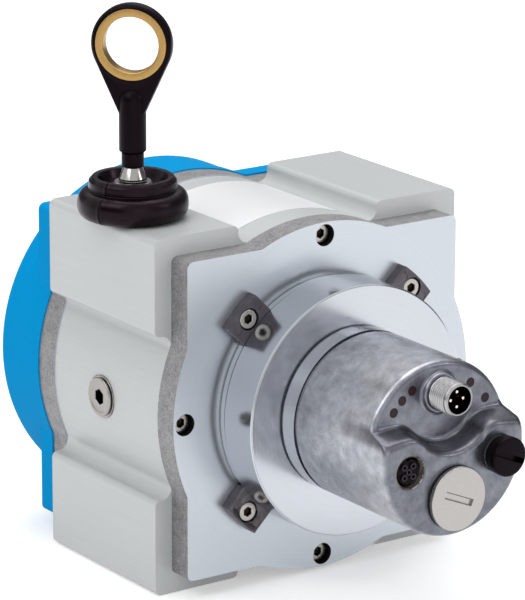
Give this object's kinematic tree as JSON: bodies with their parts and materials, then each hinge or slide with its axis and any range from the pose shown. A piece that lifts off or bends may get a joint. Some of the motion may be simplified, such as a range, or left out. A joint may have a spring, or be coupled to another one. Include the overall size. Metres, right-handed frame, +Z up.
{
  "type": "draw wire encoder",
  "caption": "Draw wire encoder: an extruded housing with a wire drum, a clamped rotary encoder in front and a pull eye on top.",
  "frame": {"origin": "centre of the base face, under the drum axis at mid-length of the extruded body", "axes": "+Z up, the way the wire leaves; -Y towards the encoder; +X to the right seen from the encoder's side"},
  "size_m": [0.1378, 0.1985, 0.206],
  "materials": {
    "anodised_body": "matt anodised",
    "plate_aluminium": "satin face, rough sawn edges",
    "turned_aluminium": "fine turned, bright",
    "cast_housing": "tumbled die casting",
    "drum_aluminium": "turned",
    "screw_steel": "stainless, bright",
    "shaft_steel": "ground",
    "spring_steel": "blued strip",
    "wire_steel": "stranded stainless",
    "nickel": "nickel plated",
    "blue_plastic": "moulded, satin",
    "black_plastic": "moulded, satin",
    "bumper_rubber": "soft matt rubber",
    "seal_rubber": "matt rubber",
    "felt": "pressed felt",
    "brass": "turned",
    "gold_contact": "gold plated",
    "label_film": "silvered film",
    "board_laminate": "lacquered laminate",
    "disc_plastic": "clear plastic with a track",
    "lens_plastic": "tinted, polished"
  },
  "bodies": {
    "housing": {"body_profile": "anodised_body", "front_plate": "plate_aluminium", "rear_plate": "plate_aluminium", "front_plate_screws": "screw_steel", "rear_plate_screws": "screw_steel", "spring_housing": "blue_plastic", "spring_housing_screws": "screw_steel", "power_spring": "spring_steel", "front_bearing": "shaft_steel", "rear_bearing": "shaft_steel", "guide_sleeve": "brass", "wire_nozzle": "nickel", "wire_wiper": "felt", "rubber_bumper": "bumper_rubber", "side_plug": "nickel", "side_plug_seal": "seal_rubber", "type_label": "label_film", "mounting_ring": "turned_aluminium", "servo_clamps": "turned_aluminium", "clamp_screws": "screw_steel", "encoder_screws": "screw_steel", "encoder_flange": "turned_aluminium", "encoder_bearing": "shaft_steel", "circuit_board": "board_laminate", "preset_switch": "black_plastic", "encoder_housing": "cast_housing", "plug_shell": "nickel", "plug_insert": "black_plastic", "plug_pins": "gold_contact", "port_shell_left": "nickel", "port_insert_left": "black_plastic", "port_shell_right": "nickel", "port_insert_right": "black_plastic", "status_lenses": "lens_plastic"},
    "shaft": {"drum_shaft": "shaft_steel", "spring_arbor": "drum_aluminium", "shaft_coupling": "drum_aluminium", "encoder_shaft": "shaft_steel", "code_disc": "disc_plastic"},
    "drum": {"wire_drum": "drum_aluminium", "wire_winding": "wire_steel"},
    "wire_end": {"measuring_wire": "wire_steel", "wire_end_cone": "nickel", "swivel_collar": "black_plastic"},
    "pull_eye": {"pull_eye": "black_plastic", "eye_bush": "brass"},
    "cap_seal": {"setting_cap_seal": "seal_rubber"},
    "cap": {"setting_cap": "nickel"},
    "dust_seal": {"dust_cap_seal": "seal_rubber"},
    "dust_cap": {"dust_cap": "black_plastic"},
    "button": {"setting_button": "black_plastic"}
  },
  "joints": [
    {"name": "drum_spin", "type": "hinge", "parent": "housing", "child": "shaft", "pos_m": [0, 0, 0.065], "axis": [0, 1, 0], "range_deg": [0, 5385.2], "stiffness_Nm_per_rad": 0.00453, "springref_deg": -4033.62},
    {"name": "drum_travel", "type": "slide", "parent": "shaft", "child": "drum", "axis": [0, -1, 0], "range_m": [0, 0.02245]},
    {"name": "wire_pull", "type": "slide", "parent": "housing", "child": "wire_end", "axis": [0, 0, 1], "range_m": [0, 5], "deforming": ["measuring_wire"]},
    {"name": "eye_swivel", "type": "hinge", "parent": "wire_end", "child": "pull_eye", "pos_m": [-0.05319, -0.0025, 0.1918], "axis": [0, 0, 1], "continuous": true},
    {"name": "cap_lift", "type": "slide", "parent": "housing", "child": "cap_seal", "axis": [0, -1, 0], "range_m": [0, 0.009]},
    {"name": "cap_turn", "type": "hinge", "parent": "cap_seal", "child": "cap", "pos_m": [0, -0.1206, 0.049], "axis": [0, 1, 0], "range_deg": [0, 3240]},
    {"name": "dust_cap_lift", "type": "slide", "parent": "housing", "child": "dust_seal", "axis": [0, -1, 0], "range_m": [0, 0.009]},
    {"name": "dust_cap_turn", "type": "hinge", "parent": "dust_seal", "child": "dust_cap", "pos_m": [0.01904, -0.1206, 0.0613], "axis": [0, 1, 0], "range_deg": [0, 3240]},
    {"name": "button_press", "type": "slide", "parent": "housing", "child": "button", "axis": [0, 1, 0], "range_m": [0, 0.001], "stiffness_N_per_m": 1500, "springref_m": -0.001}
  ],
  "couplings": [
    {"joint": "drum_travel", "follows": "drum_spin", "m_per_rad": 0.00023873},
    {"joint": "wire_pull", "follows": "drum_spin", "m_per_rad": 0.053195},
    {"joint": "cap_turn", "follows": "cap_lift", "rad_per_m": 6283.2},
    {"joint": "dust_cap_turn", "follows": "dust_cap_lift", "rad_per_m": 6283.2}
  ]
}
